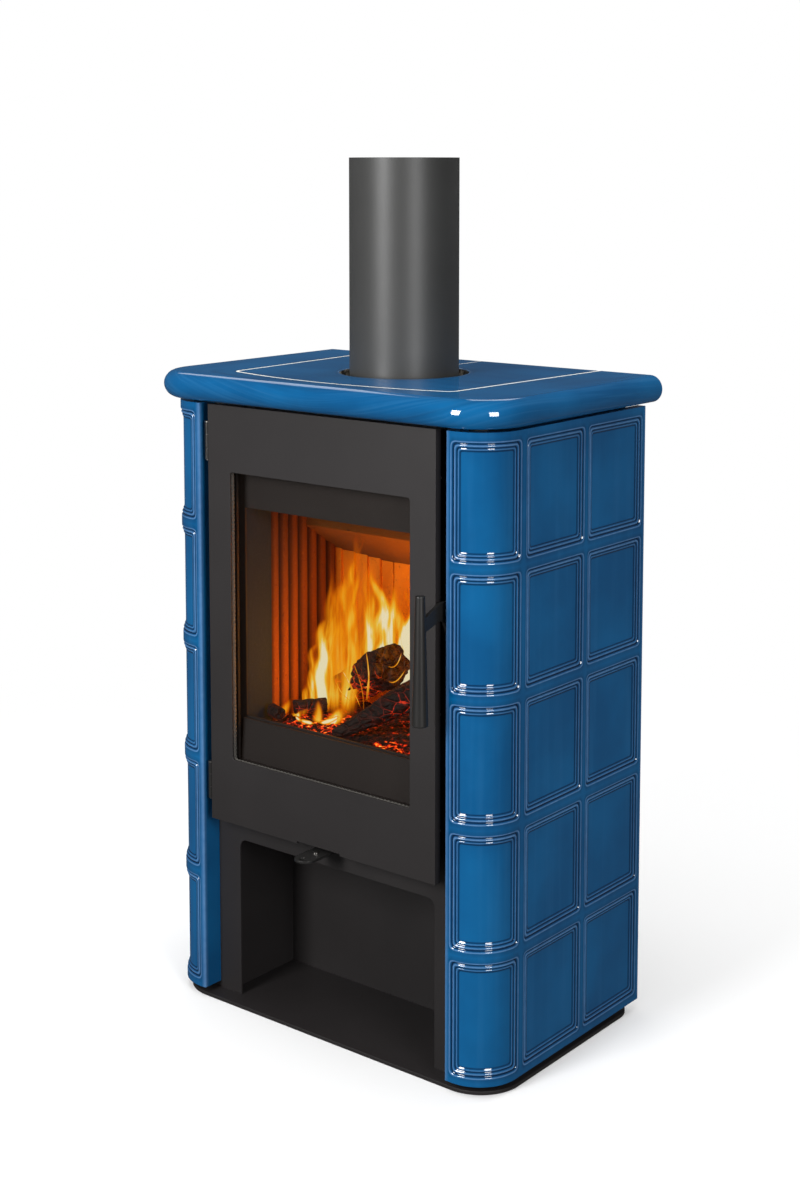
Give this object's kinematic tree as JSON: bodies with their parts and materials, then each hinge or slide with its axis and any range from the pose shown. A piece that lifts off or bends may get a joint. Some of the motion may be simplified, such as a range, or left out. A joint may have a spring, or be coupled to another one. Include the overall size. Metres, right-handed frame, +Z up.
{
  "type": "tiled wood stove",
  "caption": "Free-standing wood stove with glazed relief tiles on both sides, a glazed top, a glass fire door, an air lever and an open wood store underneath.",
  "frame": {"origin": "on the floor under the middle of the bounding box", "axes": "+Z up, the fire door faces -Y, +X to the right of someone facing the door's glass from the front"},
  "size_m": [0.6032, 0.411, 1.1815],
  "materials": {
    "glazed_ceramic": "glossy translucent blue glaze on stove ceramic, darker where it pools beside the raised bands, paler on the bands",
    "joint_compound": "matt cream jointing compound",
    "stove_paint": "matt anthracite heat-resistant paint on sheet steel",
    "pipe_paint": "satin dark grey heat-resistant paint on flue pipe",
    "bright_steel": "zinc-plated and plain steel fasteners",
    "fittings": "satin black paint on handle, levers and hinges",
    "cast_iron": "rough cast iron",
    "firebrick": "matt buff firebrick and vermiculite board, sooted in places",
    "stove_glass": "clear heat-resistant glass with a faint warm tint",
    "seal_cord": "woven glass-fibre cord, dark grey",
    "charred_wood": "charred split logs with glowing cracks",
    "embers": "bed of glowing embers and ash"
  },
  "bodies": {
    "root": {"air_duct": "stove_paint", "air_guides": "stove_paint", "ash_pan": "stove_paint", "back_lining_middle": "firebrick", "back_lining_sides": "firebrick", "baffle_lower": "firebrick", "baffle_upper": "stove_paint", "base_plate": "stove_paint", "body_top": "stove_paint", "carcass_left": "stove_paint", "carcass_right": "stove_paint", "ember_bed": "embers", "firebox_jambs": "firebrick", "firebox_shell": "stove_paint", "floor_bricks": "firebrick", "flue_pipe": "pipe_paint", "flue_spigot": "pipe_paint", "front_frame": "stove_paint", "grate": "cast_iron", "grate_carrier": "stove_paint", "hinge_brackets": "fittings", "hinge_pins": "bright_steel", "latch_keeper": "stove_paint", "log_back": "charred_wood", "log_front": "charred_wood", "log_retainer": "stove_paint", "logs_small": "charred_wood", "rear_panel": "stove_paint", "rear_screws": "bright_steel", "side_linings": "firebrick", "store_liner": "stove_paint", "store_roof": "stove_paint", "tile_left_1": "glazed_ceramic", "tile_left_2": "glazed_ceramic", "tile_left_3": "glazed_ceramic", "tile_left_4": "glazed_ceramic", "tile_left_5": "glazed_ceramic", "tile_rails": "stove_paint", "tile_right_1": "glazed_ceramic", "tile_right_2": "glazed_ceramic", "tile_right_3": "glazed_ceramic", "tile_right_4": "glazed_ceramic", "tile_right_5": "glazed_ceramic", "top_border": "glazed_ceramic", "top_grout": "joint_compound", "top_inset": "glazed_ceramic"},
    "door": {"door_panel": "stove_paint", "door_stiffener": "stove_paint", "glass_clamp": "stove_paint", "clamp_screws": "bright_steel", "door_glass": "stove_glass", "glass_gasket": "seal_cord", "door_seal": "seal_cord", "hinge_eyes": "fittings", "lever_pin": "bright_steel"},
    "latch": {"latch_lever": "fittings", "handle_grip": "fittings"},
    "air_control": {"air_lever": "fittings", "air_slide_plate": "fittings", "lever_rivet": "bright_steel"}
  },
  "joints": [
    {"name": "door_swing", "type": "hinge", "parent": "root", "child": "door", "pos_m": [-0.202, -0.1515, 0.557], "axis": [0, 0, -1], "range_deg": [0, 100]},
    {"name": "latch_turn", "type": "hinge", "parent": "door", "child": "latch", "pos_m": [0.202, -0.1405, 0.62], "axis": [-1, 0, 0], "range_deg": [0, 30]},
    {"name": "air_slide", "type": "slide", "parent": "root", "child": "air_control", "axis": [1, 0, 0], "range_m": [-0.02, 0.02]}
  ]
}
